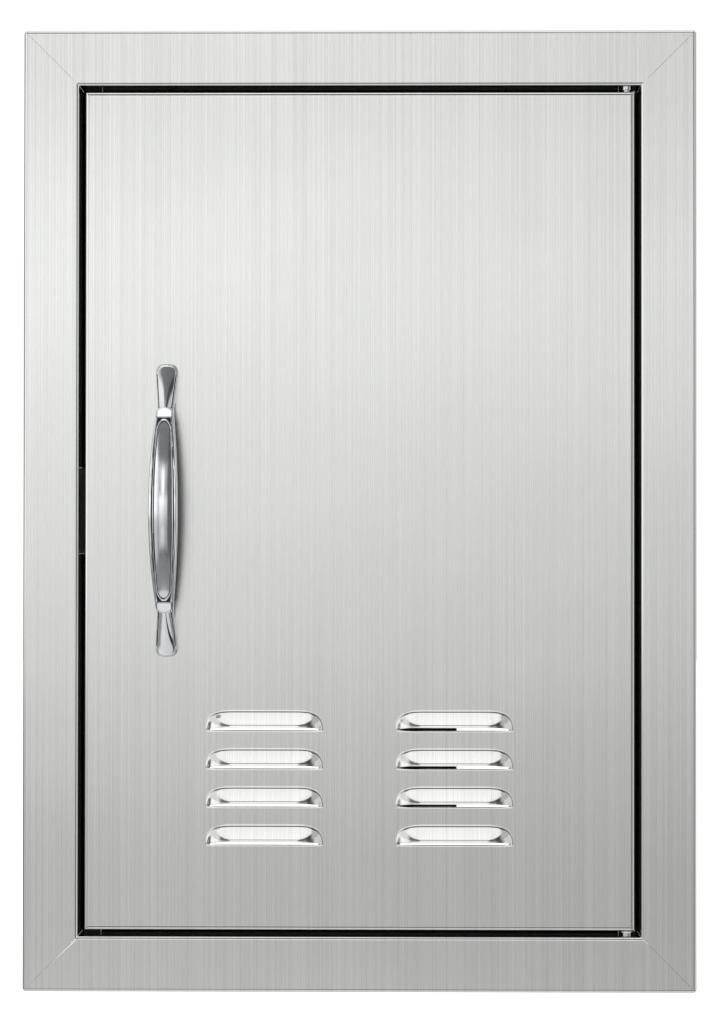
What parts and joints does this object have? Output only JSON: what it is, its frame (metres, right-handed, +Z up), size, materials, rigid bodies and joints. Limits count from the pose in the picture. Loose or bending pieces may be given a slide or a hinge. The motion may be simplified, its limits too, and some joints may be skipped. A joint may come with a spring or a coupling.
{
  "type": "outdoor kitchen access door",
  "caption": "Vented stainless access door in a mitred frame for a masonry or framed island, hinged at the right with a bow handle.",
  "frame": {"origin": "middle of the wall cut-out, in the plane of the wall's outer face where the frame's lips rest", "axes": "+Z up along the frame's longer side, +X to the hinge side, +Y into the wall; the door faces -Y"},
  "size_m": [0.3556, 0.076, 0.508],
  "materials": {
    "brushed_stainless": "upright brushed grain",
    "zinc_plated_steel": "dull zinc plate",
    "black_coated_steel": "matt black coat",
    "bright_steel": "bright turned",
    "spring_steel": "drawn wire",
    "bright_chrome": "polished plate",
    "satin_chrome": "satin plate",
    "white_nylon": "moulded",
    "black_plastic": "moulded",
    "ferrite": "ground",
    "soft_rubber": "matte"
  },
  "bodies": {
    "frame": {"frame_left_stile": "brushed_stainless", "frame_right_stile": "brushed_stainless", "frame_top_rail": "brushed_stainless", "frame_bottom_rail": "brushed_stainless", "frame_corner_plates": "zinc_plated_steel", "left_stop_strips": "black_coated_steel", "right_stop_strip": "black_coated_steel", "top_stop_strip": "black_coated_steel", "bottom_stop_strip": "black_coated_steel", "door_bumpers": "soft_rubber", "top_pivot_plate": "zinc_plated_steel", "bottom_pivot_plate": "zinc_plated_steel", "top_pivot_bush": "bright_steel", "bottom_pivot_pin": "bright_steel", "pivot_washer": "white_nylon", "catch_housing": "black_plastic", "catch_magnet": "ferrite", "catch_pole_plates": "zinc_plated_steel", "catch_screws": "bright_steel"},
    "door": {"strike_plate": "zinc_plated_steel", "strike_rivets": "bright_steel", "door_outer_skin": "brushed_stainless", "door_inner_skin": "brushed_stainless", "door_stiffener": "zinc_plated_steel", "top_hinge_bracket": "zinc_plated_steel", "bottom_hinge_bracket": "zinc_plated_steel", "bottom_door_bush": "white_nylon", "pin_spring": "spring_steel", "handle": "bright_chrome", "handle_screws": "bright_steel", "handle_washers": "bright_steel"},
    "top_hinge_pin": {"hinge_pin": "bright_steel", "pin_collar": "bright_steel"}
  },
  "joints": [
    {"name": "door_hinge", "type": "hinge", "parent": "frame", "child": "door", "pos_m": [0.1413, -0.007, 0], "axis": [0, 0, 1], "range_deg": [0, 105]},
    {"name": "pin_slide", "type": "slide", "parent": "door", "child": "top_hinge_pin", "axis": [0, 0, -1], "range_m": [0, 0.006], "stiffness_N_per_m": 500, "springref_m": -0.004, "deforming": ["pin_spring"]}
  ]
}
